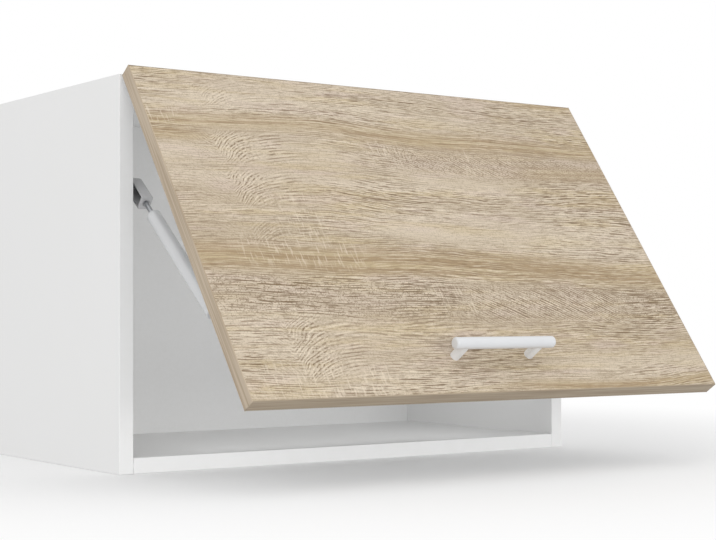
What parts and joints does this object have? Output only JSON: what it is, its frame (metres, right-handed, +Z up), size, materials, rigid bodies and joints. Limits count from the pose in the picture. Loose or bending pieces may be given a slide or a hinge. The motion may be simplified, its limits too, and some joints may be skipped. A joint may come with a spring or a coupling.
{
  "type": "kitchen wall cabinet",
  "caption": "White box wall cabinet with a wood-grain lift-up flap hinged along its top edge, a bar handle low on the flap, gas struts beside the side panels and hangers for a wall rail.",
  "frame": {"origin": "on the wall plane, under the middle of the bottom panel", "axes": "+X along the cabinet to its right seen from the front, +Y into the wall, +Z up"},
  "size_m": [0.6, 0.5367, 0.4077],
  "materials": {
    "white_board": "white melamine on chipboard, fine matt texture",
    "white_back": "white lacquered hardboard",
    "white_band": "white plastic edge band",
    "oak_board": "pale rough-sawn oak decor on chipboard, grain along the cabinet",
    "oak_band": "oak decor plastic edge band",
    "beech": "plain beech",
    "zinc": "zinc-plated steel",
    "white_trim": "moulded white plastic",
    "handle_white": "white powder coat, satin",
    "strut_silver": "light silver-grey enamel",
    "rod_chrome": "hard chrome",
    "grey_plastic": "moulded grey plastic",
    "seal_black": "black moulded plastic",
    "bumper_clear": "translucent soft plastic"
  },
  "bodies": {
    "carcass": {"left_side_panel": "white_board", "right_side_panel": "white_board", "top_panel": "white_board", "bottom_panel": "white_board", "back_panel": "white_back", "left_side_edge_band": "white_band", "right_side_edge_band": "white_band", "top_edge_band": "white_band", "bottom_edge_band": "white_band", "joint_dowels": "beech", "cam_locks": "zinc", "cam_bolts": "zinc", "cam_cover_caps": "white_trim", "left_hanger_housing": "white_trim", "right_hanger_housing": "white_trim", "left_hanger_hook": "zinc", "right_hanger_hook": "zinc", "hanger_adjusting_screws": "zinc", "left_hinge_fixed_leaf": "zinc", "right_hinge_fixed_leaf": "zinc", "hinge_pins": "zinc", "fixed_leaf_screws": "zinc", "left_strut_wall_plate": "zinc", "right_strut_wall_plate": "zinc", "strut_plate_screws": "zinc"},
    "flap": {"flap_panel": "oak_board", "flap_top_band": "oak_band", "flap_bottom_band": "oak_band", "flap_left_band": "oak_band", "flap_right_band": "oak_band", "handle_bar": "handle_white", "handle_left_post": "handle_white", "handle_right_post": "handle_white", "handle_screws": "zinc", "left_hinge_flap_leaf": "zinc", "right_hinge_flap_leaf": "zinc", "flap_leaf_screws": "zinc", "left_strut_flap_bracket": "zinc", "right_strut_flap_bracket": "zinc", "strut_bracket_screws": "zinc", "strut_flap_pins": "zinc", "flap_bumpers": "bumper_clear"},
    "left_strut_rod": {"left_strut_rod_eye": "grey_plastic", "left_strut_rod": "rod_chrome", "left_strut_piston": "seal_black"},
    "left_strut_cylinder": {"left_strut_tube": "strut_silver", "left_strut_rod_guide": "seal_black", "left_strut_neck": "zinc", "left_strut_top_fitting": "grey_plastic", "left_strut_top_stud": "zinc"},
    "right_strut_rod": {"right_strut_rod_eye": "grey_plastic", "right_strut_rod": "rod_chrome", "right_strut_piston": "seal_black"},
    "right_strut_cylinder": {"right_strut_tube": "strut_silver", "right_strut_rod_guide": "seal_black", "right_strut_neck": "zinc", "right_strut_top_fitting": "grey_plastic", "right_strut_top_stud": "zinc"}
  },
  "joints": [
    {"name": "flap_hinge", "type": "hinge", "parent": "carcass", "child": "flap", "pos_m": [0, -0.29475, 0.398], "axis": [-1, 0, 0], "range_deg": [-35.2, 39.8]},
    {"name": "left_strut_swing", "type": "hinge", "parent": "flap", "child": "left_strut_rod", "pos_m": [-0.27, -0.48843, 0.10912], "axis": [-1, 0, 0], "range_deg": [-1.42, 1.6]},
    {"name": "left_strut_slide", "type": "slide", "parent": "left_strut_rod", "child": "left_strut_cylinder", "axis": [0, 0.7661, 0.6428], "range_m": [-0.06547, 0.074]},
    {"name": "right_strut_swing", "type": "hinge", "parent": "flap", "child": "right_strut_rod", "pos_m": [0.27, -0.48843, 0.10912], "axis": [-1, 0, 0], "range_deg": [-1.42, 1.6]},
    {"name": "right_strut_slide", "type": "slide", "parent": "right_strut_rod", "child": "right_strut_cylinder", "axis": [0, 0.7661, 0.6428], "range_m": [-0.06547, 0.074]}
  ],
  "couplings": [
    {"joint": "left_strut_swing", "follows": "flap_hinge", "ratio": 0.039815},
    {"joint": "left_strut_slide", "follows": "flap_hinge", "m_per_rad": 0.10624},
    {"joint": "right_strut_swing", "follows": "flap_hinge", "ratio": 0.039815},
    {"joint": "right_strut_slide", "follows": "flap_hinge", "m_per_rad": 0.10624}
  ]
}
